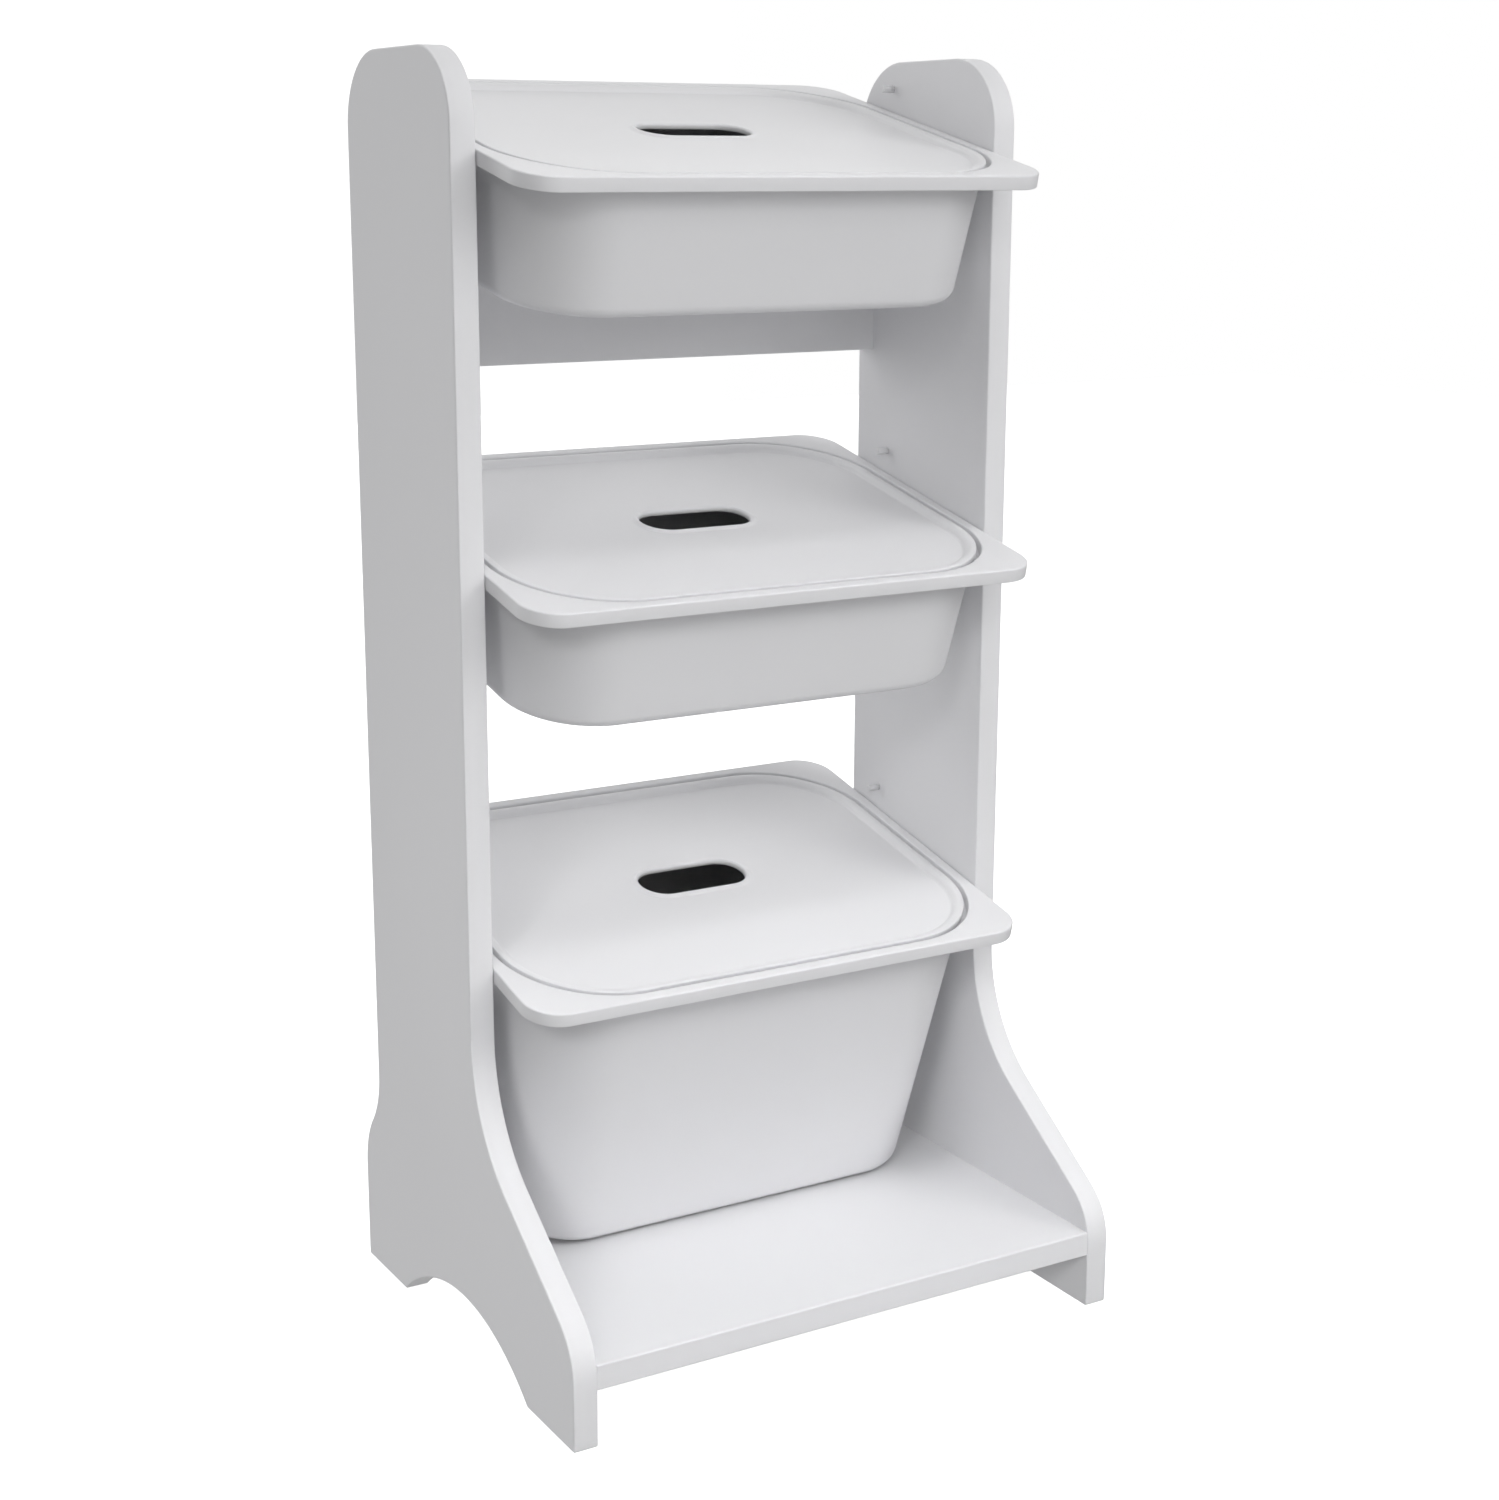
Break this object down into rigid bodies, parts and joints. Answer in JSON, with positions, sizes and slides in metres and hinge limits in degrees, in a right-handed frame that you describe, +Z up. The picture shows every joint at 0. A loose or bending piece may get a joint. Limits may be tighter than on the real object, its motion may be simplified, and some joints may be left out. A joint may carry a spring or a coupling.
{
  "type": "toy storage rack with bins",
  "caption": "Open floor-standing rack whose side boards hold tilted plastic bins in tiers over a low shelf, each bin with a lift-off lid that has a lipped hand slot.",
  "frame": {"origin": "on the floor, at the middle of the whole object's width and depth", "axes": "+Z up, +X to the right as seen from the open front, -Y towards the front"},
  "size_m": [0.4368, 0.3902, 0.888],
  "materials": {
    "painted_board": "satin white paint on fibreboard",
    "board_dowel": "plain hardwood",
    "bin_plastic": "satin white moulded plastic",
    "lid_plastic": "satin white moulded plastic",
    "peg_plastic": "smooth white moulded plastic",
    "bolt_steel": "zinc-plated",
    "cam_zinc": "die-cast, tumbled"
  },
  "bodies": {
    "frame": {"side_panel_left": "painted_board", "side_panel_right": "painted_board", "bottom_shelf": "painted_board", "back_rail": "painted_board", "shelf_dowels": "board_dowel", "rail_dowels": "board_dowel", "shelf_cam_bolts": "bolt_steel", "rail_cam_bolts": "bolt_steel", "shelf_cam_locks": "cam_zinc", "rail_cam_locks": "cam_zinc", "support_pegs_top": "peg_plastic", "stop_pegs_top": "peg_plastic", "support_pegs_middle": "peg_plastic", "stop_pegs_middle": "peg_plastic", "support_pegs_bottom": "peg_plastic", "stop_pegs_bottom": "peg_plastic"},
    "bin_top": {"bin_top": "bin_plastic"},
    "lid_top": {"lid_top": "lid_plastic"},
    "bin_middle": {"bin_middle": "bin_plastic"},
    "lid_middle": {"lid_middle": "lid_plastic"},
    "bin_bottom": {"bin_bottom": "bin_plastic"},
    "lid_bottom": {"lid_bottom": "lid_plastic"}
  },
  "joints": [
    {"name": "top_bin_slide", "type": "slide", "parent": "frame", "child": "bin_top", "axis": [0, -0.9742, -0.2258], "range_m": [0, 0.25]},
    {"name": "middle_bin_slide", "type": "slide", "parent": "frame", "child": "bin_middle", "axis": [0, -0.9742, -0.2258], "range_m": [0, 0.25]},
    {"name": "bottom_bin_tip", "type": "hinge", "parent": "frame", "child": "bin_bottom", "pos_m": [0, 0.09921, 0.30361], "axis": [-1, 0, 0], "range_deg": [0, 13]},
    {"name": "top_lid_lift", "type": "slide", "parent": "bin_top", "child": "lid_top", "axis": [0, -0.2258, 0.9742], "range_m": [0, 0.1]},
    {"name": "middle_lid_lift", "type": "slide", "parent": "bin_middle", "child": "lid_middle", "axis": [0, -0.2258, 0.9742], "range_m": [0, 0.07]},
    {"name": "bottom_lid_lift", "type": "slide", "parent": "bin_bottom", "child": "lid_bottom", "axis": [0, -0.2258, 0.9742], "range_m": [0, 0.1]}
  ]
}
